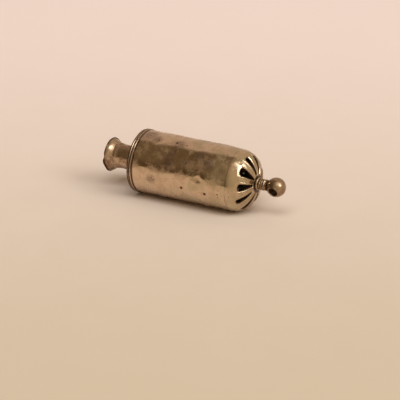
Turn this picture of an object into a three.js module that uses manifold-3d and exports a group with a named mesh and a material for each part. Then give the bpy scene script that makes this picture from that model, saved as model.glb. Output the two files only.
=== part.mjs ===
// A small silver-plated needle case, lying on its side.
// Millimetres, +Z up. The axis of the case runs along X: the pierced dome with its hanging
// ball points to +X, and the lid with its trumpet-shaped knob to -X.
// Inside, the lid carries a bound roll of wool with needles stuck in it.
// The origin is on the surface that the case lies on, under the middle of its length.

import * as THREE from 'three';
import { mergeVertices } from 'three/addons/utils/BufferGeometryUtils.js';
import Module from 'manifold-3d';

// Driving dimensions. Places along the axis count from the face of the barrel's mouth.
const facets = 32; // flats round each large turned piece, with one of them facing straight down
const smallFacets = 24; // round the finial and its rove
const wireFacets = 16;
const needleFacets = 8;

const barrelRadius = 10.05;
const barrelLength = 34.1; // mouth face to the shoulder of the dome
const sheet = 0.7; // rolled sheet of the barrel, the dome and the collar
const slipClearance = 0.1; // radial gap where one ring slips into another
const partClearance = 0.3; // gap round a piece that is held by another

const rimWidth = 0.8; // each of the two rim rings, along the axis
const rimProud = 0.2; // how far a rim ring stands out of the barrel
const rimChamfer = 0.2;
const lidSeam = 0.1; // open line between the lid's ring and the mouth's ring
const collarLength = 4.8; // slip collar of the lid

const knobNeckRadius = 3.88;
const knobNeckLength = 6.7;
const knobFlareLength = 4.6;
const knobFlareRise = 1.75;
const knobSheet = 0.55;
const knobFlareSteps = 9;

const domeHeight = 6.9;
const domeSkirt = 4.0; // the part of the dome that plugs into the barrel
const domeSteps = 9;
const crownRadius = 2.4; // flat on the dome's crown, where the finial is seated
const slotCount = 10;
const slotTurn = -7; // degrees, from +Y towards +Z
const slotShoulder = 1.3; // barrel's outside to the wide end of a slot, across the axis
const slotCrown = 1.3; // crown flat to the narrow end of a slot
const slotWideHalf = 1.15;
const slotNarrowHalf = 0.35;

const collarMargin = 0.35; // crown flat left bare round the finial's collar
const finialCollarHeight = 0.8;
const stemRadius = 1.85;
const stemLength = 2.6;
const grooveDepth = 0.4;
const grooveWidth = 0.4;
const ballRadius = 3.08;
const ballSteps = 9;
const ballHoleRadius = 1.45;
const ballHoleTurn = 20; // degrees, from +Y towards +Z
const tenonRadius = 1.0;
const roveWidth = 1.1; // hole to outer edge
const roveThickness = 0.5;
const rivetLip = 0.5; // how far a riveted end spreads over its washer
const rivetHeight = 0.4;

const coreRadius = 0.8; // wire that the wool is rolled on
const coreFootWidth = 1.4; // wire to the edge of its foot, and of the washer at its end
const coreFootHeight = 0.5;
const woolRoom = 1.25; // inside of the lid's collar to the roll
const woolLength = 12.8;
const woolEdge = 0.7; // soft edge at the ends of the roll
const threadWidth = 0.9;
const threadDepth = 0.4; // how far a binding thread pulls into the wool
const threadProud = 0.15;
const threadInset = 3.0; // from each end of the roll to the middle of its thread

const needleCount = 5;
const needleRadius = 0.4;
const needleInset = 2.8; // outside of the roll to the needles' axes
const needleTurn = 54;
const needleDepth = 10.2; // how deep a needle is stuck into the roll
const needleHeadroom = 0.8; // longest needle to the inside of the dome
const needleStep = 1.1; // each needle is this much shorter than the one before
const needleTaper = 7.0;
const eyeLength = 1.6;
const eyeWidth = 0.3;
const eyeInset = 0.9; // end of the needle to the eye

// Sizes that follow from the driving dimensions
const boreRadius = barrelRadius - sheet;
const nestedRadius = boreRadius - slipClearance; // outside of what slips into the barrel
const nestedBore = nestedRadius - sheet;
const rimRadius = barrelRadius + rimProud;
const lidInnerFace = -lidSeam;
const lidOuterFace = lidInnerFace - rimWidth;
const neckEnd = lidOuterFace - knobNeckLength;
const lipPlace = neckEnd - knobFlareLength;
const domeInside = domeHeight - sheet;
const onDome = (radius, base, height) => barrelLength + height * Math.sqrt(1 - (radius / base) ** 2);
const crownPlace = onDome(crownRadius, barrelRadius, domeHeight);
const crownInside = onDome(crownRadius, boreRadius, domeInside);
const tenonHole = tenonRadius + slipClearance;
const stemPlace = crownPlace + finialCollarHeight;
const groovePlace = stemPlace + stemLength;
const grooveRadius = stemRadius - grooveDepth;
const ballPlace = groovePlace + grooveWidth + Math.sqrt(ballRadius ** 2 - grooveRadius ** 2);
const coreFoot = lidInnerFace + coreFootHeight;
const woolRadius = nestedBore - woolRoom;
const woolPlace = coreFoot + partClearance;
const woolEnd = woolPlace + woolLength;
const washerPlace = woolEnd + partClearance;
const needleCircle = woolRadius - needleInset;
const needlePoint = woolEnd - needleDepth;
const needleReach = onDome(needleCircle + needleRadius, boreRadius, domeInside) - needleHeadroom;

const wasm = await Module();
wasm.setup();

// A solid turned about the X axis. The profile is a list of [place along the axis, radius]:
// it starts and ends on the axis, or it is the section of a ring and is closed here.
function turned(profile, sides = facets) {
  const onAxis = profile[0][1] === 0 && profile.at(-1)[1] === 0;
  const closed = onAxis ? profile : [...profile, profile[0]];
  const points = closed.map(([place, radius]) => new THREE.Vector2(radius, place));
  return new THREE.LatheGeometry(points, sides, Math.PI / sides).rotateZ(-Math.PI / 2);
}

function toSolid(geometry) {
  const bare = geometry.clone().deleteAttribute('normal').deleteAttribute('uv');
  const merged = mergeVertices(bare);
  const corners = merged.index.array;
  const triVerts = [];
  for (let i = 0; i < corners.length; i += 3) {
    const [a, b, c] = corners.slice(i, i + 3);
    if (a !== b && b !== c && c !== a) triVerts.push(a, b, c);
  }
  return new wasm.Manifold(new wasm.Mesh({
    numProp: 3,
    vertProperties: merged.attributes.position.array,
    triVerts: new Uint32Array(triVerts),
  }));
}

function toGeometry(solid) {
  const { vertProperties, triVerts } = solid.getMesh();
  const geometry = new THREE.BufferGeometry();
  geometry.setAttribute('position', new THREE.BufferAttribute(vertProperties, 3));
  geometry.setIndex(new THREE.BufferAttribute(triVerts, 1));
  return geometry;
}

function cut(geometry, cutters) {
  return toGeometry(cutters.reduce((solid, cutter) => solid.subtract(toSolid(cutter)), toSolid(geometry)));
}

function material(color, roughness, metalness) {
  return () => new THREE.MeshStandardMaterial({ color, roughness, metalness });
}

const plate = material(0xb8a68c, 0.35, 1);
const darkPlate = material(0x8d7c66, 0.5, 1);
const steel = material(0xc4c4c8, 0.2, 1);
const wool = material(0x7a2f2a, 0.95, 0);
const thread = material(0xd8cbb0, 0.9, 0);

function piece(name, geometry, makeMaterial) {
  const mesh = new THREE.Mesh(geometry, makeMaterial());
  mesh.name = name;
  return mesh;
}

// Section of a rim ring: flat towards the bore, chamfered outside round a narrow flat crest
function rimSection(start, innerRadius) {
  const end = start + rimWidth;
  return [
    [start, innerRadius],
    [start, rimRadius - rimChamfer],
    [start + rimChamfer, rimRadius],
    [end - rimChamfer, rimRadius],
    [end, rimRadius - rimChamfer],
    [end, innerRadius],
  ];
}

function tubeSection(start, end, innerRadius, outerRadius) {
  return [[start, innerRadius], [start, outerRadius], [end, outerRadius], [end, innerRadius]];
}

function barrel() {
  return turned(tubeSection(rimWidth, barrelLength, boreRadius, barrelRadius));
}

function mouthRing() {
  return turned(rimSection(0, boreRadius));
}

// Outline of one slot across the dome: a round wide end outside and a round narrow one inside
function slotOutline() {
  const shape = new THREE.Shape();
  const wideEnd = barrelRadius - slotShoulder - slotWideHalf;
  const narrowEnd = crownRadius + slotCrown + slotNarrowHalf;
  shape.absarc(wideEnd, 0, slotWideHalf, -Math.PI / 2, Math.PI / 2);
  shape.absarc(narrowEnd, 0, slotNarrowHalf, Math.PI / 2, Math.PI * 1.5);
  shape.closePath();
  return shape;
}

function slotCutter(index) {
  const reach = domeHeight + sheet;
  const angle = THREE.MathUtils.degToRad(slotTurn + index * 360 / slotCount);
  return new THREE.ExtrudeGeometry(slotOutline(), { depth: reach, bevelEnabled: false, curveSegments: 4 })
    .rotateZ(Math.PI / 2) // the slot now runs outwards along +Y, and is as deep as Z
    .rotateY(Math.PI / 2) // its depth turns to +X
    .rotateX(angle)
    .translate(barrelLength + slipClearance, 0, 0);
}

function piercedDome() {
  const outer = [];
  const inner = [];
  const outerEnd = Math.acos(crownRadius / barrelRadius);
  const innerEnd = Math.acos(crownRadius / boreRadius);
  for (let i = 0; i <= domeSteps; i++) {
    const a = outerEnd * i / domeSteps;
    const b = innerEnd * (1 - i / domeSteps);
    outer.push([barrelLength + domeHeight * Math.sin(a), barrelRadius * Math.cos(a)]);
    inner.push([barrelLength + domeInside * Math.sin(b), boreRadius * Math.cos(b)]);
  }
  inner[domeSteps] = [barrelLength, nestedBore]; // the wall steps in to the skirt here
  const shell = turned([
    [barrelLength - domeSkirt, nestedBore],
    [barrelLength - domeSkirt, nestedRadius],
    [barrelLength, nestedRadius],
    ...outer,
    [crownPlace, tenonHole],
    [crownInside, tenonHole],
    ...inner,
  ]);
  return cut(shell, Array.from({ length: slotCount }, (_, index) => slotCutter(index)));
}

function finialCollar() {
  const radius = crownRadius - collarMargin;
  return turned([
    [crownPlace, tenonHole],
    [crownPlace, radius],
    [crownPlace + finialCollarHeight / 2, radius],
    [stemPlace, stemRadius],
    [stemPlace, tenonHole],
  ]);
}

// Stem and ball in one, with a tenon that goes through the dome and is riveted over inside
function finial() {
  const rivetPlace = crownInside - roveThickness;
  const start = Math.asin(grooveRadius / ballRadius);
  const ball = [];
  for (let i = 0; i < ballSteps; i++) {
    const a = start + (Math.PI - start) * i / ballSteps;
    ball.push([ballPlace - ballRadius * Math.cos(a), ballRadius * Math.sin(a)]);
  }
  const body = turned([
    [rivetPlace - rivetHeight, 0],
    [rivetPlace - rivetHeight, tenonRadius],
    [rivetPlace, tenonRadius + rivetLip],
    [rivetPlace, tenonRadius],
    [stemPlace, tenonRadius],
    [stemPlace, stemRadius],
    [groovePlace, stemRadius],
    [groovePlace, grooveRadius],
    ...ball,
    [ballPlace + ballRadius, 0],
  ], smallFacets);
  const hole = new THREE.CylinderGeometry(ballHoleRadius, ballHoleRadius, ballRadius * 3, wireFacets)
    .rotateX(THREE.MathUtils.degToRad(ballHoleTurn))
    .translate(ballPlace, 0, 0);
  return cut(body, [hole]);
}

function finialRove() {
  const start = crownInside - roveThickness;
  return turned(tubeSection(start, crownInside, tenonHole, tenonHole + roveWidth), smallFacets);
}

function lidPlate() {
  return turned([
    [lidOuterFace, 0],
    [lidOuterFace, boreRadius],
    [lidInnerFace, boreRadius],
    [lidInnerFace, 0],
  ]);
}

function lidRing() {
  return turned(rimSection(lidOuterFace, boreRadius + slipClearance));
}

function lidCollar() {
  return turned(tubeSection(lidInnerFace, lidInnerFace + collarLength, nestedBore, nestedRadius));
}

// Straight neck that opens in a parabola to the lip
function trumpetKnob() {
  const outer = [];
  for (let i = 0; i <= knobFlareSteps; i++) {
    const u = i / knobFlareSteps;
    outer.push([neckEnd - knobFlareLength * u, knobNeckRadius + knobFlareRise * u * u]);
  }
  const inner = outer.map(([place, radius]) => [place, radius - knobSheet]);
  return turned([
    [lidOuterFace, knobNeckRadius - knobSheet],
    ...inner,
    ...outer.reverse(),
    [lidOuterFace, knobNeckRadius],
  ]);
}

// Wire with a soldered foot; its other end is riveted over the washer that keeps the wool on
function woolCore() {
  const rivetPlace = washerPlace + coreFootHeight;
  return turned([
    [lidInnerFace, 0],
    [lidInnerFace, coreRadius + coreFootWidth],
    [coreFoot, coreRadius + coreFootWidth],
    [coreFoot, coreRadius],
    [rivetPlace, coreRadius],
    [rivetPlace, coreRadius + rivetLip],
    [rivetPlace + rivetHeight, coreRadius],
    [rivetPlace + rivetHeight, 0],
  ], wireFacets);
}

function coreWasher() {
  const end = washerPlace + coreFootHeight;
  const hole = coreRadius + slipClearance;
  return turned(tubeSection(washerPlace, end, hole, coreRadius + coreFootWidth), wireFacets);
}

const threadPlaces = [woolPlace + threadInset, woolEnd - threadInset];

function woolRoll() {
  const bore = coreRadius + partClearance;
  const waist = woolRadius - threadDepth;
  const grooves = threadPlaces.flatMap((place) => [
    [place - threadWidth, woolRadius],
    [place - threadWidth / 2, waist],
    [place + threadWidth / 2, waist],
    [place + threadWidth, woolRadius],
  ]);
  const body = turned([
    [woolPlace, bore],
    [woolPlace, woolRadius - woolEdge],
    [woolPlace + woolEdge, woolRadius],
    ...grooves,
    [woolEnd - woolEdge, woolRadius],
    [woolEnd, woolRadius - woolEdge],
    [woolEnd, bore],
  ]);
  const channelRadius = needleRadius + partClearance;
  const channelLength = needleDepth + partClearance * 2;
  const channels = needleAngles().map((angle) => (
    new THREE.CylinderGeometry(channelRadius, channelRadius, channelLength, needleFacets)
      .rotateZ(Math.PI / 2)
      .translate(woolEnd + partClearance - channelLength / 2, needleCircle, 0)
      .rotateX(angle)
  ));
  return cut(body, channels);
}

// Two turns of thread tied round the roll, as one flat band
function bindingThread(place) {
  const inside = woolRadius - threadDepth + slipClearance;
  const [start, end] = [place - threadWidth / 2, place + threadWidth / 2];
  return turned(tubeSection(start, end, inside, woolRadius + threadProud));
}

function needleAngles() {
  const step = 360 / needleCount;
  return Array.from({ length: needleCount }, (_, i) => THREE.MathUtils.degToRad(needleTurn + i * step));
}

// A sharp on its own axis, with its point at the start and a long eye near its end
function needle(length) {
  const body = turned([
    [0, 0],
    [needleTaper, needleRadius],
    [length - needleRadius, needleRadius],
    [length, needleRadius / 2],
    [length, 0],
  ], needleFacets);
  const eye = new THREE.BoxGeometry(eyeLength, eyeWidth, needleRadius * 3)
    .translate(length - eyeInset - eyeLength / 2, 0, 0);
  return cut(body, [eye]);
}

const caseBody = new THREE.Group();
caseBody.add(
  piece('barrel', barrel(), plate),
  piece('mouth_ring', mouthRing(), plate),
  piece('pierced_dome', piercedDome(), plate),
  piece('finial_collar', finialCollar(), plate),
  piece('finial', finial(), plate),
  piece('finial_rove', finialRove(), darkPlate),
);

const lid = new THREE.Group();
lid.add(
  piece('lid_plate', lidPlate(), plate),
  piece('lid_ring', lidRing(), plate),
  piece('lid_collar', lidCollar(), darkPlate),
  piece('trumpet_knob', trumpetKnob(), plate),
  piece('wool_core', woolCore(), darkPlate),
  piece('core_washer', coreWasher(), darkPlate),
  piece('wool_roll', woolRoll(), wool),
  ...threadPlaces.map((place, i) => piece(`binding_thread_${i + 1}`, bindingThread(place), thread)),
);

needleAngles().forEach((angle, i) => {
  const mesh = piece(`needle_${i + 1}`, needle(needleReach - needlePoint - i * needleStep), steel);
  mesh.position.set(needlePoint, needleCircle * Math.cos(angle), needleCircle * Math.sin(angle));
  mesh.rotation.x = angle;
  lid.add(mesh);
});

const needleCase = new THREE.Group();
needleCase.add(caseBody, lid);
needleCase.position.set(
  -(lipPlace + ballPlace + ballRadius) / 2,
  0,
  rimRadius * Math.cos(Math.PI / facets),
);

export default needleCase;
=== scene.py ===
import math

import bmesh
import bpy
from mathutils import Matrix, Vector


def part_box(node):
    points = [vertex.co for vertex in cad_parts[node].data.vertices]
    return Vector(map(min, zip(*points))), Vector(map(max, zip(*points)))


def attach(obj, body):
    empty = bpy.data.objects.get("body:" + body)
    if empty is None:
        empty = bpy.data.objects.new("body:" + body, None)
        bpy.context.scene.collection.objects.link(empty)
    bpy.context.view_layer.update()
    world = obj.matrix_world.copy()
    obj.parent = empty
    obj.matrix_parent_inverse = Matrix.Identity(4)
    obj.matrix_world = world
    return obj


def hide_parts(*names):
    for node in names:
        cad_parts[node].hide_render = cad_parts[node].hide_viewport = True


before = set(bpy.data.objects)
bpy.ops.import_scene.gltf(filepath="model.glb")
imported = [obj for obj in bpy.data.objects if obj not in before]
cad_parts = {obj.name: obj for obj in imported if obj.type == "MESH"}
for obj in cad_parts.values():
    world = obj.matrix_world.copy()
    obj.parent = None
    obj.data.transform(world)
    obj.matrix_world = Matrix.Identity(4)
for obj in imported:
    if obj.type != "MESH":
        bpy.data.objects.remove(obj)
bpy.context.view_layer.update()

mm = 0.001

# Lengths below are in millimetres, and places along the case count from the face of its mouth.
cadFlats = 32  # the CAD rounds are polygons, measured across their flats
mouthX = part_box("mouth_ring")[0].x
axisHeight = (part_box("barrel")[0].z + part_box("barrel")[1].z) / 2


def startOf(node):
    return (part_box(node)[0].x - mouthX) / mm


def endOf(node):
    return (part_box(node)[1].x - mouthX) / mm


def radiusOf(node, flats=cadFlats):
    low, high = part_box(node)
    return (high.z - low.z) / 2 / mm / math.cos(math.pi / flats)


barrelRadius = radiusOf("barrel")
ringRadius = radiusOf("mouth_ring")
shoulder = endOf("barrel")
crown = startOf("finial_collar")
stemSeat = endOf("finial_collar")
lidFace = startOf("lid_plate")
lidInside = endOf("lid_plate")
sheet = barrelRadius - radiusOf("lid_plate")
boreRadius = barrelRadius - sheet
nestedRadius = radiusOf("lid_collar")


def onAxis(place):
    return Vector((mouthX + place * mm, 0, axisHeight))


def onSkin(place, degrees, radius):
    # Degrees count from +Y towards +Z
    turn = math.radians(degrees)
    return onAxis(place) + Vector((0, math.cos(turn), math.sin(turn))) * radius * mm


class Wire:
    # One socket of a node tree. Sums and products of wires add Math nodes.
    def __init__(self, tree, socket=None):
        self.tree = tree
        self.socket = socket

    def node(self, kind, settings=None, values=None, output=0):
        made = self.tree.nodes.new(kind)
        for key, value in (settings or {}).items():
            if key == "stops":
                stops = made.color_ramp.elements
                for index, (place, colour) in enumerate(value):
                    stop = stops[index] if index < 2 else stops.new(place)
                    stop.position = place
                    stop.color = colour
            else:
                setattr(made, key, value)
        for key, value in (values or {}).items():
            if isinstance(value, Wire):
                self.tree.links.new(value.socket, made.inputs[key])
            else:
                made.inputs[key].default_value = value
        return Wire(self.tree, made.outputs[output])

    def output(self, index):
        return Wire(self.tree, self.socket.node.outputs[index])

    def maths(self, operation, *values):
        return self.node("ShaderNodeMath", {"operation": operation}, dict(enumerate(values)))

    def vectors(self, operation, *values):
        return self.node("ShaderNodeVectorMath", {"operation": operation}, dict(enumerate(values)))

    def __add__(self, other):
        return self.maths("ADD", self, other)

    def __sub__(self, other):
        return self.maths("SUBTRACT", self, other)

    def __rsub__(self, other):
        return self.maths("SUBTRACT", other, self)

    def __mul__(self, other):
        return self.maths("MULTIPLY", self, other)

    __radd__ = __add__
    __rmul__ = __mul__

    def size(self):
        return self.maths("ABSOLUTE", self)

    def atLeast(self, other):
        return self.maths("MAXIMUM", self, other)

    def rise(self, low, high):
        # 0 below low, 1 above high, smooth between
        values = {"Value": self, "From Min": low, "From Max": high}
        return self.node("ShaderNodeMapRange", {"interpolation_type": "SMOOTHSTEP"}, values)

    def noise(self, where, scale, detail=3.0, roughness=0.5):
        values = {"Vector": where, "Scale": scale, "Detail": detail, "Roughness": roughness}
        return self.node("ShaderNodeTexNoise", None, values)

    def streaks(self, where, turns, scale, detail):
        # Stretched and turned noise
        values = {"Vector": where, "Rotation": turns, "Scale": scale}
        return self.noise(self.node("ShaderNodeMapping", None, values), 1.0, detail)

    def parts(self):
        return self.node("ShaderNodeSeparateXYZ", None, {0: self})

    def distance(self, point):
        return self.node("ShaderNodeVectorMath", {"operation": "DISTANCE"}, {0: self, 1: point}, 1)

    def colours(self, factor, first, second):
        return self.node("ShaderNodeMix", {"data_type": "RGBA"}, {0: factor, 6: first, 7: second}, 2)

    def bump(self, height, strength, depth):
        values = {"Strength": strength, "Distance": depth * mm, "Height": height}
        return self.node("ShaderNodeBump", None, values)


def newMaterial(name):
    material = bpy.data.materials.new(name)
    material.use_nodes = True
    shader = material.node_tree.nodes["Principled BSDF"]
    wire = Wire(material.node_tree)
    spot = wire.node("ShaderNodeTexCoord", output=3)
    fromMouth = wire.vectors("SUBTRACT", spot, onAxis(0))
    inMillimetres = wire.vectors("MULTIPLY", fromMouth, (1 / mm, 1 / mm, 1 / mm))
    return material, shader, wire, inMillimetres


def plug(shader, **wires):
    for name, value in wires.items():
        socket = shader.inputs[name.replace("_", " ")]
        if isinstance(value, Wire):
            value.tree.links.new(value.socket, socket)
        else:
            socket.default_value = value


# Silver plate, worn and lightly tarnished. Colours are linear.
silverLook = {
    "clean": (0.68, 0.52, 0.37, 1),
    "warm": (0.53, 0.35, 0.21, 1),
    "olive": (0.52, 0.42, 0.27, 1),
    "stain": (0.29, 0.195, 0.145, 1),
    "aged": (0.27, 0.17, 0.105, 1),
    # Colour of the joint bands: tarnish, and partly painted shade
    "jointGrimeAndShade": (0.05, 0.026, 0.013, 1),
    "pit": (0.09, 0.02, 0.009, 1),
    "cutWall": (0.10, 0.034, 0.018, 1),
    "patchSize": 3.2,  # millimetres across a patch of tarnish
    "mottles": 1.9,  # mottles, freckles and chance pits to the millimetre, about
    "freckles": 8.0,
    "chancePits": 0.62,
    "scratches": [  # slant, and stretch along and round the case
        (0.35, (0.25, 9.0, 1.0)),
        (-0.9, (0.3, 7.0, 1.0)),
        (1.45, (0.2, 11.0, 1.0)),
    ],
    "roughness": 0.07,  # of the bright metal, and what each blemish adds
    "tarnishRoughness": 0.14,
    "cloudRoughness": 0.2,
    "mottleRoughness": 0.06,
    "scratchRoughness": 0.08,
    "pitRoughness": 0.3,
    "stainRoughness": 0.26,
    "cutRoughness": 0.3,
    "scratchDepth": 0.175,  # as a share of the relief
    "pitDepth": 1.6,
    "relief": 0.03,  # millimetres
    # How dark the joint bands are painted: tarnish and painted shade together
    "seamGrimeAndShade": 0.92,
    "cutGrime": 0.85,
}


def silverMaterial(
    name,
    tarnish=0.45, dull=0.0, age=0.0, agedFrom=-100, cuts=False,
    seams=(),  # place and width
    pits=(),  # place, degrees, radius
    stains=(),
):
    look = silverLook
    material, shader, wire, spot = newMaterial(name)
    parts = spot.parts()
    along, across, up = parts, parts.output(1), parts.output(2)
    turn = wire.maths("ARCTAN2", across, up)  # its cut is underneath
    skin = wire.node("ShaderNodeCombineXYZ", None, {0: along, 1: turn * barrelRadius, 2: 0.0})

    patches = wire.noise(spot, 1 / look["patchSize"], 6.0, 0.62)
    mottle = wire.noise(spot, look["mottles"], 5.0, 0.6)
    freckles = wire.noise(spot, look["freckles"], 3.0, 0.55)
    tarnished = (patches + mottle * 0.35 + (freckles - 0.5) * 0.25).rise(0.56, 0.86)

    # Fine scratches: three sets of long thin streaks, crossing at a slant
    scratches = None
    for slant, scale in look["scratches"]:
        scratch = wire.streaks(skin, (0, 0, slant), scale, 2.0).rise(0.66, 0.74)
        scratches = scratch if scratches is None else scratches.atLeast(scratch)

    def fromMark(place, degrees):
        return spot.distance((onSkin(place, degrees, barrelRadius) - onAxis(0)) / mm)

    # Chance pits, and the larger ones where they are on the case
    values = {"Vector": spot, "Scale": look["chancePits"], "Randomness": 1.0}
    cell = wire.node("ShaderNodeTexVoronoi", None, values)
    chosen = wire.node("ShaderNodeSeparateColor", None, {0: cell.output(1)}).rise(0.78, 0.8)
    pitted = (1 - (cell + (freckles - 0.5) * 0.1).rise(0.05, 0.11)) * chosen
    for place, degrees, radius in pits:
        away = fromMark(place, degrees)
        pitted = pitted.atLeast(1 - (away + (freckles - 0.5) * 0.5).rise(radius * 0.6, radius * 1.5))

    stained = None
    for place, degrees, radius in stains:
        away = fromMark(place, degrees)
        patch = 1 - (away + (mottle - 0.5) * radius * 2.5).rise(radius * 0.5, radius * 1.4)
        stained = patch if stained is None else stained.atLeast(patch)

    # Darker bands at the joints, which cross the axis: tarnish gathered in the joints, and partly
    # painted shade and painted dark reflection where joints and edges lie in shade
    jointTarnishAndShade = None
    for place, width in seams:
        band = 1 - ((along - place).size() + (mottle - 0.5) * width).rise(width * 0.3, width * 1.3)
        jointTarnishAndShade = band if jointTarnishAndShade is None else jointTarnishAndShade.atLeast(band)

    broad = wire.noise(spot, 0.22, 2.0)
    colour = wire.colours(tarnished * tarnish, look["clean"], look["warm"])
    colour = wire.colours((broad + along * 0.008).rise(0.62, 0.8) * 0.8, colour, look["olive"])
    colour = wire.colours(freckles.rise(0.55, 0.8) * 0.3, colour, look["warm"])
    if age > 0:
        aged = patches * 0.5 + mottle * 0.5 + (freckles - 0.5) * 0.3
        aged = aged.rise(0.46 - 0.2 * age, 0.78 - 0.22 * age) * along.rise(agedFrom - 1, agedFrom + 1.5)
        colour = wire.colours(aged * age, colour, look["aged"])
    if jointTarnishAndShade is not None:
        # The joint bands: tarnish, partly painted shade and painted dark reflection
        colour = wire.colours(jointTarnishAndShade * look["seamGrimeAndShade"], colour, look["jointGrimeAndShade"])
    if age > 0:
        dull = aged * (dull + 0.1 * age)
    if stained is not None:
        spotted = stained * (freckles + mottle * 0.6).rise(0.62, 0.86)
        colour = wire.colours(spotted, colour, look["stain"])
        dull = spotted * look["stainRoughness"] + dull
    if cuts:
        # The sawn walls of the slots never got polished, and dirt stays along their edges
        cut = wire.node("ShaderNodeAttribute", {"attribute_name": "cut"}, None, 2)
        near = (cut + (mottle - 0.5) * 0.5).rise(0.35, 0.8)
        colour = wire.colours(near * look["cutGrime"], colour, look["cutWall"])
        dull = near * look["cutRoughness"] + dull
    colour = wire.colours(pitted, colour, look["pit"])
    clouded = (patches * 0.8 + mottle * 0.2 + freckles * 0.12).rise(0.5, 0.66)
    roughness = tarnished * look["tarnishRoughness"] + clouded * look["cloudRoughness"]
    roughness = roughness + mottle * look["mottleRoughness"] + scratches * look["scratchRoughness"]
    roughness = roughness + pitted * look["pitRoughness"] + (dull + look["roughness"])
    height = mottle * 0.5 + freckles * 0.12
    height = height - scratches * look["scratchDepth"] - pitted * look["pitDepth"]
    normal = wire.bump(height, 0.5, look["relief"])
    plug(shader, Base_Color=colour, Roughness=roughness, Normal=normal, Metallic=1.0)
    return material


darkLook = {
    "deep": (0.06, 0.032, 0.019, 1),
    "brown": (0.24, 0.145, 0.08, 1),
    "roughness": 0.55,
}


def darkMaterial(name):
    look = darkLook
    material, shader, wire, spot = newMaterial(name)
    patches = wire.noise(spot, 0.5, 5.0, 0.6)
    grain = wire.noise(spot, 7.0, 4.0, 0.6)
    colour = wire.colours((patches + grain * 0.3).rise(0.5, 0.85), look["deep"], look["brown"])
    roughness = grain * 0.2 + look["roughness"]
    normal = wire.bump(grain, 0.6, 0.03)
    plug(shader, Base_Color=colour, Roughness=roughness, Normal=normal, Metallic=0.85)
    return material


steelLook = {
    "bright": (0.36, 0.34, 0.31, 1),
    "worn": (0.13, 0.11, 0.095, 1),
    "roughness": 0.36,
}


def steelMaterial():
    look = steelLook
    material, shader, wire, spot = newMaterial("needleSteel")
    drawn = wire.streaks(spot, (0, 0, 0), (0.4, 12.0, 12.0), 3.0)
    worn = wire.noise(spot, 0.8, 4.0).rise(0.5, 0.75)
    colour = wire.colours(worn * 0.6, look["bright"], look["worn"])
    roughness = worn * 0.2 + look["roughness"]
    normal = wire.bump(drawn, 0.3, 0.01)
    plug(shader, Base_Color=colour, Roughness=roughness, Normal=normal, Metallic=1.0)
    return material


woolLook = {
    "deep": (0.11, 0.012, 0.01, 1),
    "red": (0.30, 0.04, 0.03, 1),
    "fuzz": (0.46, 0.11, 0.08, 1),
}


def woolMaterial():
    look = woolLook
    material, shader, wire, spot = newMaterial("feltedWool")
    broad = wire.noise(spot, 0.7, 4.0)
    fibres = None
    for slant in (0.4, 1.5, 2.6):
        strand = wire.streaks(spot, (slant, slant * 0.7, slant * 1.3), (2.0, 14.0, 14.0), 3.0)
        fibres = strand if fibres is None else fibres.atLeast(strand)
    colour = wire.colours(broad.rise(0.3, 0.7), look["deep"], look["red"])
    colour = wire.colours(fibres.rise(0.55, 0.8) * 0.7, colour, look["fuzz"])
    normal = wire.bump(fibres, 0.9, 0.12)
    plug(shader, Base_Color=colour, Roughness=0.95, Normal=normal, Sheen_Weight=0.5)
    return material


threadLook = {
    "pale": (0.62, 0.54, 0.40, 1),
    "shade": (0.36, 0.29, 0.19, 1),
    "plyPitch": 0.5,  # millimetres from one ply to the next
}


def threadMaterial():
    look = threadLook
    material, shader, wire, spot = newMaterial("linenThread")
    parts = spot.parts()
    turn = wire.maths("ARCTAN2", parts.output(1), parts.output(2))
    perPly = 2 * math.pi / look["plyPitch"]
    lay = turn * (radiusOf("binding_thread_1") * perPly) + parts * perPly
    ply = wire.maths("SINE", lay) * 0.5 + 0.5
    fibre = wire.noise(spot, 12.0, 3.0)
    colour = wire.colours((ply * 0.7 + fibre * 0.5).rise(0.2, 0.9), look["shade"], look["pale"])
    plug(shader, Base_Color=colour, Roughness=0.85, Normal=wire.bump(ply + fibre * 0.4, 0.8, 0.06))
    return material


def clearSelection():
    bpy.ops.object.select_all(action="DESELECT")


def choose(piece, *others):
    clearSelection()
    for other in others:
        other.select_set(True)
    piece.select_set(True)
    bpy.context.view_layer.objects.active = piece


def selectAll():
    bpy.ops.mesh.select_all(action="SELECT")


def leaveEditing():
    bpy.ops.object.mode_set(mode="OBJECT")


def finishMesh():
    selectAll()
    bpy.ops.mesh.normals_make_consistent(inside=False)
    leaveEditing()


def justAdded(name):
    # The newest primitive, named, in edit mode and all selected
    piece = bpy.context.object
    piece.name = piece.data.name = name
    bpy.ops.object.transform_apply(location=True, rotation=True, scale=True)
    bpy.ops.object.mode_set(mode="EDIT")
    selectAll()
    return piece


def editing(piece):
    # Edit mode, with nothing selected
    choose(piece)
    bpy.ops.object.mode_set(mode="EDIT")
    bpy.ops.mesh.select_all(action="DESELECT")


def selectVertices(piece, wanted):
    editing(piece)
    leaveEditing()
    for vertex in piece.data.vertices:
        vertex.select = wanted(vertex)
    bpy.ops.object.mode_set(mode="EDIT")


def extrude(step):
    bpy.ops.mesh.extrude_region_move(TRANSFORM_OT_translate={"value": step})


def turnRound(centre, angle):
    bpy.ops.transform.rotate(value=angle, orient_axis="X", center_override=centre)


def fading(reach):
    # A move that the surface round it follows, less and less
    return {
        "use_proportional_edit": True,
        "proportional_edit_falloff": "SMOOTH",
        "proportional_size": reach * mm,
    }


def closeOnAxis(step):
    # Draws the open edge to a point on the axis
    extrude(step)
    bpy.ops.mesh.merge(type="CENTER")


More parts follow.
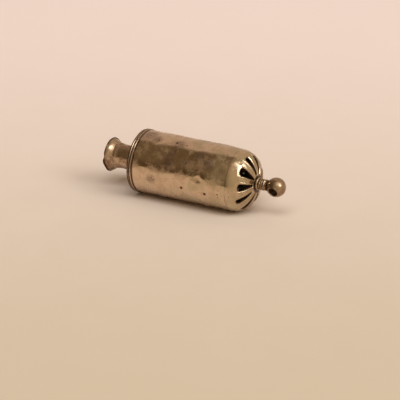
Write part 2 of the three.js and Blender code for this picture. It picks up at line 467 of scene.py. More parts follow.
def turnedPiece(name, outline, sides=160, centre=None, direction=Vector((1, 0, 0))):
    # One circle, then one extruded ring for each further point of the outline.
    # The outline's points are (place, radius): it starts and ends on the axis, or is closed.
    centre = onAxis(0) if centre is None else centre
    clearSelection()
    rings = [point for point in outline if point[1] > 0]
    if outline[0][1] > 0:
        rings.append(rings[0])
    place, radius = rings[0]
    bpy.ops.mesh.primitive_circle_add(
        vertices=sides,
        radius=radius * mm,
        location=centre + direction * place * mm,
        rotation=direction.to_track_quat("Z", "Y").to_euler(),
    )
    piece = justAdded(name)
    for nextPlace, nextRadius in rings[1:]:
        step = direction * (nextPlace - place) * mm
        growth = nextRadius / radius
        extrude(step)
        middle = centre + direction * nextPlace * mm
        bpy.ops.transform.resize(value=(growth, growth, growth), center_override=middle)
        place, radius = nextPlace, nextRadius
    if outline[-1][1] == 0:
        closeOnAxis(direction * (outline[-1][0] - place) * mm)
    if outline[0][1] == 0:
        bpy.ops.mesh.select_all(action="DESELECT")
        bpy.ops.mesh.select_non_manifold()
        closeOnAxis(direction * (outline[0][0] - rings[0][0]) * mm)
    selectAll()
    bpy.ops.mesh.remove_doubles(threshold=0.002 * mm)
    finishMesh()
    return piece


def arc(place, radius, reach, fromDegrees, toDegrees, steps):
    # Points of a round stretch of an outline; 0 degrees looks along the axis, 90 away from it
    step = (toDegrees - fromDegrees) / steps
    turns = [math.radians(fromDegrees + step * i) for i in range(steps + 1)]
    return [(place + reach * math.cos(turn), radius + reach * math.sin(turn)) for turn in turns]


def stretch(start, end, steps):
    # Points between two points of an outline, without the last one
    return [tuple(a + (b - a) * i / steps for a, b in zip(start, end)) for i in range(steps)]


def smooth(piece, degrees=38):
    choose(piece)
    bpy.ops.object.shade_smooth_by_angle(angle=math.radians(degrees))


def applyModifier(piece, modifier):
    choose(piece)
    bpy.ops.object.modifier_apply(modifier=modifier.name)


def clouds(name, size):
    texture = bpy.data.textures.new(name, "CLOUDS")
    texture.noise_scale = size * mm
    return texture


def displace(piece, texture, depth, level=0.5):
    modifier = piece.modifiers.new(texture.name, "DISPLACE")
    modifier.texture = texture
    modifier.texture_coords = "LOCAL"
    modifier.strength = depth * mm
    modifier.mid_level = level
    applyModifier(piece, modifier)


sheetWork = {
    "waveSize": 5.5,  # millimetres across a wave of the hand-worked sheet
    "waveDepth": 0.16,
    # The upper side and the front come in a little towards the dome, by a share of the radius
    "drawnFrom": 27.0,
    "drawnTo": 37.5,
    "drawnBy": 0.05,
    # One wide hollow across the joint of the barrel and the dome
    "hollowPlace": 35.5,
    "hollowDegrees": 156,
    "hollowDepth": 0.75,
    "hollowReach": 10.0,
}
waves = clouds("handWorkedSheet", sheetWork["waveSize"])


def handWork(piece, share=1.0):
    # Old rolled and hammered sheet is never quite true
    displace(piece, waves, sheetWork["waveDepth"] * share)


def push(piece, target, move, reach):
    # Moves the surface at one spot
    nearest = min(piece.data.vertices, key=lambda vertex: (vertex.co - target).length).index
    selectVertices(piece, lambda vertex: vertex.index == nearest)
    bpy.ops.transform.translate(value=move * mm, **fading(reach))
    leaveEditing()


def dent(piece, place, degrees, radius, depth, reach):
    # A negative depth is a bulge
    target = onSkin(place, degrees, radius)
    push(piece, target, (onAxis(place) - target).normalized() * depth, reach)


def easing(share):
    share = min(1.0, max(0.0, share))
    return share**2 * (3 - 2 * share)


def settle(piece):
    # The barrel and the dome get the same, so that they still meet
    start, end = sheetWork["drawnFrom"], sheetWork["drawnTo"]
    for vertex in piece.data.vertices:
        place = (vertex.co.x - mouthX) / mm
        middle = onAxis(place)
        offset = vertex.co - middle
        narrowing = easing((place - start) / (end - start)) * sheetWork["drawnBy"]
        upper = max(0.0, (1 + offset.z / max(offset.length, mm)) / 2) ** 0.6
        vertex.co = middle + offset * (1 - narrowing * upper)
    centre = onSkin(sheetWork["hollowPlace"], sheetWork["hollowDegrees"], barrelRadius)
    inward = (onAxis(sheetWork["hollowPlace"]) - centre).normalized() * sheetWork["hollowDepth"] * mm
    for vertex in piece.data.vertices:
        share = 1 - (vertex.co - centre).length / (sheetWork["hollowReach"] * mm)
        vertex.co += inward * easing(share)


def coat(piece, outside, inside=None):
    # Faces that look towards the axis are the inside of the wall
    piece.data.materials.append(outside)
    if inside is None:
        return
    piece.data.materials.append(inside)
    for face in piece.data.polygons:
        outward = (face.center - onAxis(0)) * Vector((0, 1, 1))
        if face.normal.dot(outward.normalized()) < -0.3:
            face.material_index = 1


def seat(piece, body, node):
    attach(piece, body)
    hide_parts(node)


def complete(piece, body, node, outside, inside=None, degrees=38):
    smooth(piece, degrees)
    coat(piece, outside, inside)
    seat(piece, body, node)


def copied(piece, name):
    copy = piece.copy()
    copy.data = piece.data.copy()
    copy.name = copy.data.name = name
    bpy.context.scene.collection.objects.link(copy)
    return copy


view = {
    "azimuth": 29.3,
    "elevation": 21.9,
    "distance": 0.9,
    "width": 0.1274,  # what the view takes in, at the case
    "right": 18.35,  # from the lid's outer face, on the axis, to the middle of the view
    "down": 12.74,
}


def makeCamera():
    azimuth, elevation = math.radians(view["azimuth"]), math.radians(view["elevation"])
    level = math.cos(elevation)
    back = Vector((math.sin(azimuth) * level, -math.cos(azimuth) * level, math.sin(elevation)))
    right = Vector((math.cos(azimuth), math.sin(azimuth), 0))
    up = back.cross(right)
    middle = onAxis(lidFace) + (right * view["right"] - up * view["down"]) * mm
    clearSelection()
    bpy.ops.object.camera_add(location=middle + back * view["distance"])
    camera = bpy.context.object
    camera.rotation_euler = back.to_track_quat("Z", "Y").to_euler()
    camera.data.lens = camera.data.sensor_width * view["distance"] / view["width"]
    camera.data.clip_start = 0.01
    camera.data.clip_end = 100
    bpy.context.scene.camera = camera
    return back


stageLook = {
    "near": (0.535, 0.447, 0.342, 1),
    "far": (0.75, 0.645, 0.605, 1),
    "room": (0.17, 0.117, 0.064, 1),  # the dark room in front of the case, as metal shows it
    "roomLow": (0.10, 0.062, 0.03, 1),
    "glow": (0.66, 0.53, 0.36, 1),  # light from the side that falls on the room's wall
    "glowFrom": (0.75, -0.5, 0.43),
    "glowEdges": (0.38, 0.96),
    "spread": 0.42,  # how much of it reaches the rest of that side
    "spreadEdges": (-0.42, 0.0),
    "sweep": (0.62, 0.48, 0.38, 1),  # the pale sweep behind it
    "backdrop": (0.82, 0.68, 0.59, 1),
    "floorSize": 12.0,
    # The floor's near and far colours are painted light falloff, darker near the camera
    "floorPaintedFalloff": (-190, 210),  # millimetres of depth over which it goes from near to far
    "floorUneven": 40,
    "lampDistance": 3.0,
}


def makeFloor():
    clearSelection()
    bpy.ops.mesh.primitive_plane_add(size=stageLook["floorSize"], location=(0, 0, 0))
    floor = bpy.context.object
    floor.name = "floor"
    material, shader, wire, spot = newMaterial("paleFloor")
    azimuth = math.radians(view["azimuth"])
    parts = spot.parts()
    # The floor is painted darker near the camera and paler away from it: painted light falloff across
    # the floor
    depth = parts * -math.sin(azimuth) + parts.output(1) * math.cos(azimuth)
    grain = wire.noise(spot, 0.06, 3.0)
    paintedFalloff = (depth + (grain - 0.5) * stageLook["floorUneven"]).rise(*stageLook["floorPaintedFalloff"])
    colour = wire.colours(paintedFalloff, stageLook["near"], stageLook["far"])
    plug(shader, Base_Color=colour, Roughness=0.85, Specular_IOR_Level=0.15)
    floor.data.materials.append(material)


def makeWorld():
    look = stageLook
    world = bpy.data.worlds.new("studio")
    bpy.context.scene.world = world
    world.use_nodes = True
    wire = Wire(world.node_tree)
    toward = wire.node("ShaderNodeTexCoord", output=0)
    parts = toward.parts()
    room = wire.colours(parts.output(2).rise(0.1, 0.5), look["roomLow"], look["room"])
    studio = wire.colours(parts.output(1).rise(0.08, 0.28), room, look["sweep"])
    spread = parts.rise(*look["spreadEdges"]) * look["spread"]
    studio = wire.colours(spread, studio, look["glow"])
    values = {0: toward, 1: look["glowFrom"]}
    facing = wire.node("ShaderNodeVectorMath", {"operation": "DOT_PRODUCT"}, values, 1)
    studio = wire.colours(facing.rise(*look["glowEdges"]), studio, look["glow"])
    seen = wire.node("ShaderNodeLightPath")
    colour = wire.colours(seen, studio, look["backdrop"])
    plug(world.node_tree.nodes["Background"], Color=colour)


lamps = {
    "side": {"from": (0.77, -0.08, 0.63), "size": 1.5, "power": 38.0, "mirrored": True},
    "top": {"from": (0.42, -0.27, 0.87), "size": 1.3, "power": 14.0, "mirrored": True},
    "front": {"from": (0.12, -0.5, 0.86), "size": 1.7, "power": 39.5, "mirrored": False},
}


def makeLamps():
    for name, lamp in lamps.items():
        toward = Vector(lamp["from"]).normalized()
        clearSelection()
        bpy.ops.object.light_add(type="AREA", location=toward * stageLook["lampDistance"])
        light = bpy.context.object
        light.name = name
        light.rotation_euler = toward.to_track_quat("Z", "Y").to_euler()
        light.data.size = lamp["size"]
        light.data.energy = lamp["power"]
        light.visible_glossy = lamp["mirrored"]


makeCamera()
makeFloor()
makeWorld()
makeLamps()
bpy.context.scene.view_settings.view_transform = "Standard"
print("stage set")


barrel = {
    "rings": 58,
    "pits": [  # place, degrees, radius
        (18.9, -167, 0.44), (27.1, -163.5, 0.46), (31.9, -176, 0.32), (31.6, -167, 0.3),
        (31.6, -161, 0.22), (13.7, 108, 0.36), (14.1, 118, 0.24), (15.9, 122, 0.27),
        (17.4, 110, 0.2), (14.6, 127, 0.18), (15.2, 111, 0.15), (16.7, 117, 0.13),
        (7.3, 110, 0.2),
    ],
    "dents": [  # place, degrees, depth, reach
        (2.0, 102, 0.16, 1.4), (3.3, 95, 0.2, 1.3), (7.1, 114, 0.1, 1.8),
        (24.7, 171, 0.3, 1.5), (25.6, 168, -0.12, 1.0), (13.6, 133, 0.14, 2.6),
        (19.0, 145, 0.1, 2.2), (12.0, 160, 0.12, 6.0), (22.0, -120, 0.12, 3.0),
        (9.0, 20, 0.15, 4.0), (28.0, 55, 0.12, 3.0),
    ],
    "stains": [  # place, degrees, radius
        (3.4, 100, 2.8), (6.6, 108, 1.6), (14.8, 112, 2.3), (13.6, 150, 2.4),
        (13.8, 134, 1.6), (19.0, 146, 1.4), (23.5, 128, 2.0), (27.5, 140, 2.2),
        (32.3, 148, 1.5), (8.0, -172, 1.6), (20.0, 30, 3.0), (9.0, -120, 2.6),
        (28.0, -70, 2.4), (5.0, 55, 2.0),
    ],
    "edge": 0.06,
}


def makeBarrel(outside, inside):
    edge = barrel["edge"]
    start = endOf("mouth_ring")
    outline = [
        (start, boreRadius),
        (start, barrelRadius - edge),
        *stretch((start + edge, barrelRadius), (shoulder - 0.03, barrelRadius), barrel["rings"]),
        (shoulder - 0.03, barrelRadius),
        (shoulder, barrelRadius - 0.03),
        *stretch((shoulder, boreRadius), (start, boreRadius), barrel["rings"] // 2),
    ]
    piece = turnedPiece("barrelTube", outline)
    handWork(piece)
    for place, degrees, depth, reach in barrel["dents"]:
        dent(piece, place, degrees, barrelRadius, depth, reach)
    settle(piece)
    complete(piece, "case", "barrel", outside, inside)


rings = {
    "waves": 0.5,
    "mouthDents": [(100, 0.1, 1.2), (150, 0.08, 1.6), (-60, 0.08, 2.0)],  # degrees, depth, reach
    "lidDents": [(110, 0.1, 1.6), (165, 0.06, 1.5), (-110, 0.1, 2.2), (40, 0.1, 1.6)],
    "roundPlate": 0.06,  # between the lid's plate and its ring
}


def makeRing(name, node, inner, dents, body, outside, inside):
    # A soldered ring: square inside, half round outside
    start, end = startOf(node), endOf(node)
    half = (end - start) / 2
    piece = turnedPiece(name, [
        (start, inner),
        *arc(start + half, ringRadius - half, half, 180, 0, 14),
        (end, inner),
    ])
    handWork(piece, rings["waves"])
    for degrees, depth, reach in dents:
        dent(piece, start + half, degrees, ringRadius, depth, reach)
    complete(piece, body, node, outside, inside)


dome = {
    "turn": -7.0,  # degrees, from +Y towards +Z
    "wide": 1.25,  # half width of a slot's blunt outer end
    "narrow": 0.34,
    "start": 0.47,  # angles up the dome, in radians
    "end": 1.235,
    "rolledEdge": 0.07,
    "dip": 0.16,  # how far the metal was pressed down along the slots
    "welt": 0.06,
    "dipReach": 0.3,  # as shares of the way from a slot to the middle of its petal
    "weltReach": 0.12,
    "dirtReach": 0.14,
    "crownFlat": 2.4,
    "crownEdge": 0.12,
}

# What the saw and file left uneven, slot by slot: turn in degrees, width, start, end
slotQuirks = [
    (0.6, 0.95, 0.06, 0.0),
    (-0.8, 0.9, 0.08, 0.01),
    (0.3, 0.85, 0.05, 0.02),
    (-3.0, 0.74, 0.03, 0.03),
    (-0.4, 1.16, 0.06, 0.05),
    (2.4, 0.98, 0.1, 0.03),
    (2.2, 0.74, 0.0, -0.07),
    (2.0, 0.85, 0.0, 0.01),
    (-1.0, 0.98, 0.07, 0.0),
    (0.2, 1.0, 0.05, -0.02),
]


def makeDome(outside, inside):
    height = (crown - shoulder) / math.sqrt(1 - (dome["crownFlat"] / barrelRadius) ** 2)
    topAngle = math.acos(dome["crownFlat"] / barrelRadius)
    sector = 2 * math.pi / len(slotQuirks)
    wideSteps, sideSteps, narrowSteps = 16, 18, 8

    def place(rise, turn, depth):
        # A point at an angle up the dome and an angle round it, some way under its outer face
        x, radius = height * math.sin(rise), barrelRadius * math.cos(rise)
        normal = Vector((x / height**2, radius / barrelRadius**2)).normalized()
        x, radius = x - normal.x * depth, radius - normal.y * depth
        return onSkin(shoulder + x, math.degrees(turn), radius)

    def slotRim(quirk):
        # Angles (rise, turn) round one slot, and the sector's own border opposite each
        turnBy, width, startBy, endBy = quirk
        start, end = dome["start"] + startBy, dome["end"] + endBy
        wide, narrow = dome["wide"] * width, dome["narrow"]
        perRadian = 8.6  # millimetres along the dome for each radian of its angle, about
        wideRise = wide * 0.8 / perRadian
        narrowRise = narrow / perRadian
        rim, border = [], []

        def add(rise, halfWidth, borderRise, borderTurn):
            turn = halfWidth / (barrelRadius * math.cos(rise)) + math.radians(turnBy)
            rim.append((rise, turn))
            border.append((borderRise, borderTurn))

        def addSide(shares, side):
            for t in shares:
                rise = start + wideRise + (end - narrowRise - start - wideRise) * t
                add(rise, side * (wide + (narrow - wide) * t**1.15), topAngle * t, side * sector / 2)

        for t in (i / wideSteps for i in range(wideSteps)):
            swing = math.pi * (t - 0.5)
            rise = start + wideRise * (1 - math.cos(swing) ** 0.7)
            add(rise, wide * math.sin(swing), 0, sector * (t - 0.5))
        addSide([i / sideSteps for i in range(sideSteps)], 1)
        for t in (i / narrowSteps for i in range(narrowSteps)):
            swing = math.pi * (0.5 - t)
            rise = end - narrowRise * (1 - math.cos(swing))
            add(rise, narrow * math.sin(swing), topAngle, sector * (0.5 - t))
        addSide([1 - i / sideSteps for i in range(sideSteps)], -1)
        return rim, border

    edge = dome["rolledEdge"]
    outward = [1.0, 0.88, 0.77, 0.66, 0.56, 0.48, 0.41, 0.35, 0.3, 0.25, 0.2, 0.15, 0.1, 0.06, 0.03]
    layers = [(share, 0.0) for share in outward]
    layers += [(0.015, edge * 0.3), (0.0, edge), (0.0, sheet / 2)]
    layers += [(0.0, sheet - edge), (0.015, sheet - edge * 0.3)]
    layers += [(share, sheet) for share in reversed(outward)]

    shape = bmesh.new()
    cut = shape.verts.layers.float.new("cut")
    for index, quirk in enumerate(slotQuirks):
        rim, border = slotRim(quirk)
        middle = math.radians(dome["turn"]) + sector * index
        loops = []
        for share, depth in layers:
            # Pressed down beside the slot, with a raised welt before the middle of the petal
            dip = dome["dip"] * max(0.0, 1 - share / dome["dipReach"]) ** 2
            dip -= dome["welt"] * math.exp(-(((share - dome["dipReach"]) / dome["weltReach"]) ** 2))
            loop = []
            for (rise, turn), (borderRise, borderTurn) in zip(rim, border):
                rise += (borderRise - rise) * share
                turn += (borderTurn - turn) * share
                corner = shape.verts.new(place(rise, middle + turn, depth + dip))
                corner[cut] = max(0.0, 1 - share / dome["dirtReach"])
                loop.append(corner)
            loops.append(loop)
        count = len(rim)
        for first, second in zip(loops, loops[1:]):
            for i in range(count):
                j = (i + 1) % count
                shape.faces.new((first[i], first[j], second[j], second[i]))
        narrowStart = wideSteps + sideSteps
        for i in [*range(wideSteps), *range(narrowStart, narrowStart + narrowSteps)]:
            j = (i + 1) % count
            shape.faces.new((loops[0][j], loops[0][i], loops[-1][i], loops[-1][j]))
    bmesh.ops.remove_doubles(shape, verts=shape.verts, dist=0.001 * mm)
    bmesh.ops.recalc_face_normals(shape, faces=shape.faces)
    mesh = bpy.data.meshes.new("piercedDome")
    shape.to_mesh(mesh)
    shape.free()
    piece = bpy.data.objects.new("piercedDome", mesh)
    bpy.context.scene.collection.objects.link(piece)
    handWork(piece)

    # The plate of the crown under the finial, and the skirt that plugs into the barrel
    hole, plateRadius = finial["tenonHole"], dome["crownFlat"] + dome["crownEdge"]
    crownPlate = turnedPiece("crownPlate", [
        (crown, hole),
        (crown, plateRadius),
        (crown - sheet * 0.9, plateRadius),
        (crown - sheet * 0.9, hole),
    ], 96)
    start = startOf("pierced_dome")
    skirt = turnedPiece("skirt", [
        (start, nestedRadius - sheet),
        (start, nestedRadius),
        (shoulder + 0.3, nestedRadius),
        (shoulder + 0.3, nestedRadius - sheet),
    ])
    choose(piece, crownPlate, skirt)
    bpy.ops.object.join()
    settle(piece)
    complete(piece, "case", "pierced_dome", outside, inside, 50)


finial = {
    "ballRadius": 3.08,
    "holeRadius": 1.42,
    "holeTurn": 20.0,  # degrees, from +Y towards +Z
    "holeEdge": 0.22,
    "stemRadius": 1.85,
    "tenonRadius": 1.0,
    "tenonHole": 1.1,  # in the pieces that it is riveted through
    "beads": 4,
    "granule": 0.75,  # millimetres across the lumps of its cast beads
    "granuleDepth": 0.34,
}


def makeFinial(outside, collarSilver, inside):
    wide, tenonHole = radiusOf("finial_collar"), finial["tenonHole"]
    collar = turnedPiece("finialCollar", [
        (crown, tenonHole),
        *arc(crown + 0.1, wide - 0.15, 0.15, 180, 90, 4),
        *arc(crown + 0.38, wide - 0.3, 0.3, 90, 20, 6),
        (stemSeat, finial["stemRadius"]),
        (stemSeat, tenonHole),
    ], 96)
    complete(collar, "case", "finial_collar", collarSilver, inside, 60)

    ballRadius, hole, edge = finial["ballRadius"], finial["holeRadius"], finial["holeEdge"]
    ballPlace = endOf("finial") - ballRadius
    neck = ballPlace - math.sqrt(ballRadius**2 - 1.5**2)
    roveStart, roveEnd = startOf("finial_rove"), endOf("finial_rove")
    stem, tenon, beadCount = finial["stemRadius"], finial["tenonRadius"], finial["beads"]
    beadLength = (neck - 0.15 - stemSeat) / beadCount
    beads = []
    for index in range(beadCount):
        middle = stemSeat + beadLength * (index + 0.5)
        beads += arc(middle, stem - beadLength * 0.5 - 0.02 * index, beadLength * 0.5, 150, 30, 8)
    body = turnedPiece("finialStem", [
        (startOf("finial"), 0),
        (startOf("finial"), 0.8),
        *arc(roveStart - 0.15, 1.3, 0.2, 150, 20, 5),
        (roveStart, tenon),
        (roveEnd, tenon),
        (stemSeat, tenon),
        (stemSeat, stem - 0.05),
        *beads,
        (neck - 0.1, 1.42),
        (neck + 0.25, 1.4),
        (neck + 0.35, 0),
    ], 96)
    displace(body, clouds("castBeads", finial["granule"]), finial["granuleDepth"])

    # The ball is turned round its own hole, so that both have true edges
    centre = onAxis(ballPlace)
    tilt = math.radians(finial["holeTurn"])
    through = Vector((0, math.cos(tilt), math.sin(tilt)))
    rim = math.degrees(math.asin((hole + edge) / ballRadius))
    face = math.sqrt(ballRadius**2 - (hole + edge) ** 2)
    ball = turnedPiece("ball", [
        (-face + edge * 1.1, hole),
        (-face + edge * 0.35, hole + edge * 0.22),
        *arc(0, 0, ballRadius, 180 - rim, rim, 40),
        (face - edge * 0.35, hole + edge * 0.22),
        (face - edge * 1.1, hole),
        *stretch((face - edge * 1.4, hole), (-face + edge * 1.1, hole), 6),
    ], 96, centre, through)
    handWork(ball, 0.4)
    choose(body, ball)
    bpy.ops.object.join()
    smooth(body, 50)
    body.data.materials.append(outside)
    body.data.materials.append(inside)
    for polygon in body.data.polygons:
        offset = polygon.center - centre
        radial = offset - through * offset.dot(through)
        inHole = radial.length < (hole + 0.02) * mm and offset.length < ballRadius * mm
        if polygon.center.x < onAxis(roveEnd).x or inHole:
            polygon.material_index = 1
    seat(body, "case", "finial")

    rim = radiusOf("finial_rove", 24)
    washer = turnedPiece("finialRove", [
        (roveStart, tenonHole),
        *arc(roveStart + 0.15, rim - 0.15, 0.15, 180, 90, 4),
        (roveEnd, rim),
        (roveEnd, tenonHole),
    ], 64)
    complete(washer, "case", "finial_rove", inside)


knob = {
    "neckRadius": 3.88,
    "neckLength": 6.7,
    "flareRise": 1.75,
    "rings": 28,
    "ripple": 0.15,
    "rippleLength": 2.4,
    "wall": 0.5,
    "lip": 0.2,
    "dents": [  # place from the lip, degrees, depth, reach
        (0.1, -150, 0.25, 2.4), (0.1, 172, -0.12, 2.2),
        (1.4, 60, 0.2, 2.5), (0.3, 10, 0.2, 2.2),
    ],
    "bentLip": [(197, -0.4, 3.4), (171, 0.35, 1.3), (80, 0.2, 3.0), (-30, -0.25, 3.5)],
}


def makeKnob(outside, inside):
    lip, wall, neck = knob["lip"], knob["wall"], knob["neckRadius"]
    lipPlace = startOf("trumpet_knob")
    neckEnd = lidFace - knob["neckLength"]
    flare = neckEnd - lipPlace

    def flareRadius(share):
        # Hammered out in two steps, which leave a soft ripple before the lip
        ripple = math.sin(2 * math.pi * (share - 0.6) * flare / knob["rippleLength"])
        ripple *= min(1.0, max(0.0, share - 0.25) * 4)
        return neck + knob["flareRise"] * share**2 + knob["ripple"] * ripple

    shares = [i / knob["rings"] for i in range(knob["rings"])]
    outer = [(neckEnd - flare * share, flareRadius(share)) for share in shares]
    inner = [(neckEnd - flare * share, flareRadius(share) - wall) for share in shares]
    top = flareRadius(1)
    outline = [
        (lidFace, neck - wall),
        *stretch((lidFace - 0.4, neck - wall), inner[0], 8),
        *inner,
        *arc(lipPlace + lip, top - wall * 0.62, lip, 250, 100, 9),
        *arc(lipPlace + lip * 1.15, top - lip * 0.6, lip * 0.8, 110, 50, 4),
        *reversed(outer),
        *stretch(outer[0], (lidFace - 0.55, neck), 9)[1:],
        (lidFace - 0.5, neck),
        (lidFace - 0.2, neck + 0.1),
        (lidFace, neck + 0.35),
    ]
    piece = turnedPiece("trumpetKnob", outline, 128)
    handWork(piece, 0.9)
    for place, degrees, depth, reach in knob["dents"]:
        dent(piece, lipPlace + place, degrees, top, depth, reach)
    for degrees, along, reach in knob["bentLip"]:
        push(piece, onSkin(lipPlace, degrees, top), Vector((along, 0, 0)), reach)
    complete(piece, "lid", "trumpet_knob", outside, inside, 50)


def makeLid(outside, inside):
    radius = radiusOf("lid_plate")
    plate = turnedPiece("lidPlate", [
        (lidFace, 0),
        *stretch((lidFace, 0.8), (lidFace, radius - 0.1), 10),
        (lidFace, radius - 0.1),
        (lidFace + 0.1, radius),
        (lidInside, radius),
        (lidInside, 0.5),
        (lidInside, 0),
    ])
    complete(plate, "lid", "lid_plate", outside, inside)
    for face in plate.data.polygons:
        if face.normal.x > 0.5:
            face.material_index = 1

    inner = radius + rings["roundPlate"]
    makeRing("lidRing", "lid_ring", inner, rings["lidDents"], "lid", outside, inside)

    start, end = startOf("lid_collar"), endOf("lid_collar")
    inner = nestedRadius - sheet
    collar = turnedPiece("lidCollar", [
        (start, inner),
        *stretch((start, nestedRadius), (end - 0.3, nestedRadius), 12),
        *arc(end - 0.3, nestedRadius - 0.3, 0.3, 90, 0, 4),
        *arc(end - 0.3, inner + 0.3, 0.3, 0, -90, 4),
        *stretch((end - 0.3, inner), (start, inner), 12)[1:],
    ])
    complete(collar, "lid", "lid_collar", inside)


woolRoll = {
    "turns": 6.3,
    "thickness": 0.95,
    "gap": 0.03,
    "stepsPerTurn": 40,
    "looseEnd": 150.0,  # degrees from the top to the end of the strip
    "edge": 0.3,
    "waist": 0.35,  # how far the threads pull in
    "waistReach": 1.6,
    "fuzz": 0.9,
    "fuzzDepth": 0.25,
}


def makeWool(material):
    # One long strip, rolled up from its loose outer end in towards the wire
    start, end = startOf("wool_roll"), endOf("wool_roll")
    outer = radiusOf("wool_roll")
    half = woolRoll["thickness"] / 2
    clearSelection()
    bpy.ops.mesh.primitive_grid_add(x_subdivisions=28, y_subdivisions=2, size=mm)
    piece = justAdded("woolRoll")
    bpy.ops.transform.resize(value=(end - start, 2 * half, 1), center_override=(0, 0, 0))
    turnRound((0, 0, 0), math.pi / 2)
    bpy.ops.transform.translate(value=onAxis((start + end) / 2) + Vector((0, 0, outer - half)) * mm)
    turnRound(onAxis(start), math.radians(woolRoll["looseEnd"]))
    steps = woolRoll["stepsPerTurn"]
    turn = 2 * math.pi / steps
    inward = (woolRoll["thickness"] + woolRoll["gap"]) / steps
    for step in range(int(woolRoll["turns"] * steps)):
        bpy.ops.mesh.extrude_region_move()
        piece.update_from_editmode()
        chosen = [vertex.co for vertex in piece.data.vertices if vertex.select]
        section = sum(chosen, Vector()) / len(chosen)
        toward = (onAxis((start + end) / 2) - section).normalized()
        bpy.ops.transform.translate(value=toward * inward * mm)
        turnRound(onAxis(start), turn)
    finishMesh()
    rounded = piece.modifiers.new("rounded", "BEVEL")
    rounded.width = woolRoll["edge"] * mm
    rounded.segments = 3
    rounded.angle_limit = math.radians(60)
    applyModifier(piece, rounded)
    for number in (1, 2):
        node = f"binding_thread_{number}"
        thread = (startOf(node) + endOf(node)) / 2
        selectVertices(piece, lambda vertex: abs(vertex.co.x - onAxis(thread).x) < 0.3 * mm)
        tight = 1 - woolRoll["waist"] / outer
        bpy.ops.transform.resize(
            value=(1, tight, tight),
            center_override=onAxis(thread),
            **fading(woolRoll["waistReach"]),
        )
        leaveEditing()
    displace(piece, clouds("woolFuzz", woolRoll["fuzz"]), woolRoll["fuzzDepth"], 0.6)
    complete(piece, "lid", "wool_roll", material, degrees=70)


threads = {
    "strands": 3,  # lying side by side
    "turns": 2,
    "overlap": 6,  # steps by which the ends pass each other
    "stepsPerTurn": 72,
    "sunk": 0.35,  # into the pulled-in wool
}


def makeThreads(material):
    start = startOf("binding_thread_1")
    thick = (endOf("binding_thread_1") - start) / threads["strands"]
    radius = radiusOf("wool_roll") - woolRoll["waist"] - threads["sunk"] + thick / 2
    clearSelection()
    bpy.ops.mesh.primitive_circle_add(
        vertices=10,
        radius=thick / 2 * mm,
        location=onAxis(start + thick / 2) + Vector((0, 0, radius * mm)),
        rotation=(math.pi / 2, 0, 0),
    )
    first = justAdded("bindingThread1")
    steps = threads["stepsPerTurn"]
    turn = -2 * math.pi / steps
    for step in range(threads["turns"] * steps + threads["overlap"]):
        extrude((thick * mm / steps, 0, 0))
        turnRound(onAxis(start), turn)
    bpy.ops.mesh.select_all(action="DESELECT")
    bpy.ops.mesh.select_non_manifold()
    bpy.ops.mesh.edge_face_add()
    finishMesh()

    second = copied(first, "bindingThread2")
    editing(second)
    selectAll()
    bpy.ops.transform.translate(value=onAxis(startOf("binding_thread_2")) - onAxis(start))
    leaveEditing()
    complete(first, "lid", "binding_thread_1", material, degrees=60)
    complete(second, "lid", "binding_thread_2", material, degrees=60)


core = {
    "wireRadius": 0.8,
    "washerHole": 0.9,
}


def makeCore(dark):
    foot = radiusOf("wool_core", 16)
    start, end = startOf("wool_core"), endOf("wool_core")
    washerStart, washerEnd = startOf("core_washer"), endOf("core_washer")
    wireRadius, hole = core["wireRadius"], core["washerHole"]
    stem = turnedPiece("woolCore", [
        (start, 0),
        (start, foot),
        *arc(start + 0.3, foot - 0.2, 0.2, 90, 0, 4),
        (start + 0.55, 1.0),
        (start + 0.8, wireRadius),
        (washerEnd, wireRadius),
        *arc(washerEnd + 0.12, 1.08, 0.2, 190, 60, 5),
        (end, 0.7),
        (end, 0),
    ], 48)
    complete(stem, "lid", "wool_core", dark)
    rim = radiusOf("core_washer", 16)
    washer = turnedPiece("coreWasher", [
        (washerStart, hole),
        *arc(washerStart + 0.12, rim - 0.12, 0.12, 180, 90, 4),
        *arc(washerEnd - 0.12, rim - 0.12, 0.12, 90, 0, 4),
        (washerEnd, hole),
    ], 64)
    complete(washer, "lid", "core_washer", dark)


needles = {
    "count": 5,
    "radius": 0.4,
    "taper": 8.0,
    "eyeLength": 1.7,
    "eyeWidth": 0.3,
    "eyeInset": 0.8,
    "shank": 20.0,  # from the point to where the shorter needles lose length
}


def layOf(node):
    # A needle's point, how far round the case it lies, and its length
    low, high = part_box(node)
    point = Vector((low.x, (low.y + high.y) / 2, (low.z + high.z) / 2))
    return point, math.atan2(point.z - axisHeight, point.y), (high.x - low.x) / mm


def makeFirstNeedle(point, turn, length):
    radius, taper = needles["radius"], needles["taper"]
    eyeEnd = length - needles["eyeInset"]
    eyeStart = eyeEnd - needles["eyeLength"]
    outline = [(0, 0)]
    outline += [(0.05 + taper * i / 8, radius * (0.06 + 0.88 * (i / 8) ** 0.8)) for i in range(9)]
    outline += [
        (eyeStart - 3.0, radius * 0.94),
        (eyeStart - 0.6, radius * 0.96),
        (eyeStart, radius),
        (eyeStart + 0.85, radius),
        (eyeEnd, radius),
        *arc(length - radius, 0, radius, 80, 20, 5),
        (length, 0),
    ]
    piece = turnedPiece("needle1", outline, 20, point)
    # The eye is punched from the side away from the axis
    outward = Vector((0, math.cos(turn), math.sin(turn)))
    middle = point + Vector(((eyeStart + eyeEnd) / 2 * mm, 0, 0))
    clearSelection()
    bpy.ops.mesh.primitive_cylinder_add(
        vertices=16,
        radius=needles["eyeWidth"] / 2 * mm,
        depth=3 * mm,
        location=middle,
        rotation=outward.to_track_quat("Z", "Y").to_euler(),
    )
    punch = justAdded("eyePunch")
    longer = needles["eyeLength"] / needles["eyeWidth"]
    bpy.ops.transform.resize(value=(longer, 1, 1), center_override=middle)
    leaveEditing()
    modifier = piece.modifiers.new("eye", "BOOLEAN")
    modifier.object = punch
    modifier.solver = "EXACT"
    applyModifier(piece, modifier)
    bpy.data.objects.remove(punch)
    return piece


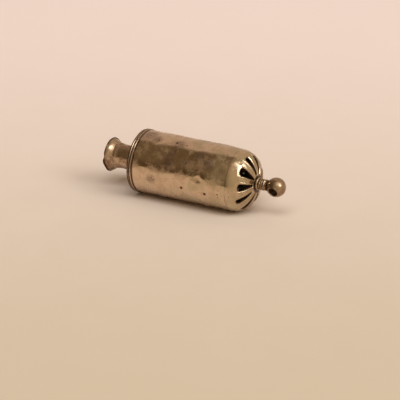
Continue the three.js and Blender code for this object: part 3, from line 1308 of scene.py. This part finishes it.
def makeNeedles(material):
    firstPoint, firstTurn, firstLength = layOf("needle_1")
    first = makeFirstNeedle(firstPoint, firstTurn, firstLength)
    copies = [copied(first, f"needle{number}") for number in range(2, needles["count"] + 1)]
    complete(first, "lid", "needle_1", material, degrees=40)
    # The others are shorter and stand round the roll, eyes outwards
    shank = firstPoint.x + needles["shank"] * mm
    for number, piece in enumerate(copies, 2):
        node = f"needle_{number}"
        point, turn, length = layOf(node)
        selectVertices(piece, lambda vertex: vertex.co.x > shank)
        bpy.ops.transform.translate(value=((length - firstLength) * mm, 0, 0))
        selectAll()
        turnRound(firstPoint, firstTurn - turn)
        bpy.ops.transform.translate(value=point - firstPoint)
        leaveEditing()
        complete(piece, "lid", node, material, degrees=40)


dark = darkMaterial("tarnishedInside")
barrelSilver = silverMaterial(
    "barrelSilver",
    # The bands beside the mouth ring and at the shoulder are tarnish in the joints, and partly painted
    # shade next to the ring
    seams=[(endOf("mouth_ring"), 0.5), (shoulder, 0.12)],
    pits=barrel["pits"],
    stains=barrel["stains"],
)
domeSilver = silverMaterial(
    "domeSilver",
    tarnish=0.6, age=0.5, agedFrom=shoulder + 2.5,
    seams=[(crown, 0.12)],
    cuts=True,
)
ringSilver = silverMaterial(
    "ringSilver",
    tarnish=0.8, dull=0.1, age=0.55,
    # The band at the lid's outer face paints the ring's outer edge dark, a painted shade and painted
    # dark reflection; the others are tarnish in the joints, partly painted shade
    seams=[(lidFace + 0.12, 0.42), (0.0, 0.22), (endOf("mouth_ring"), 0.22)],
    stains=[(0.0, 140, 1.6), (-0.3, 118, 1.4), (0.3, 160, 1.0)],
)
knobSilver = silverMaterial(
    "knobSilver",
    tarnish=0.9, dull=0.15, age=0.85,
    # The band at the lip paints a dark outline along its edge, a painted dark reflection and partly
    # wear; the one at the lid face is tarnish in the joint, partly painted shade
    seams=[(lidFace, 0.7), (startOf("trumpet_knob"), 0.6)],
)
finialSilver = silverMaterial(
    "finialSilver",
    tarnish=0.8, dull=0.05, age=0.9,
    seams=[(stemSeat, 0.15), (stemSeat + 0.75, 0.1), (stemSeat + 1.5, 0.14), (stemSeat + 2.95, 0.4)],
)
print("materials made")

makeBarrel(barrelSilver, dark)
makeRing("mouthRing", "mouth_ring", boreRadius, rings["mouthDents"], "case", ringSilver, dark)
print("barrel and mouth ring made")
makeDome(domeSilver, dark)
print("pierced dome made")
makeFinial(finialSilver, domeSilver, dark)
print("finial made")
makeKnob(knobSilver, dark)
makeLid(knobSilver, dark)
print("lid made")
makeCore(dark)
makeWool(woolMaterial())
makeThreads(threadMaterial())
makeNeedles(steelMaterial())
print("wool roll and needles made")
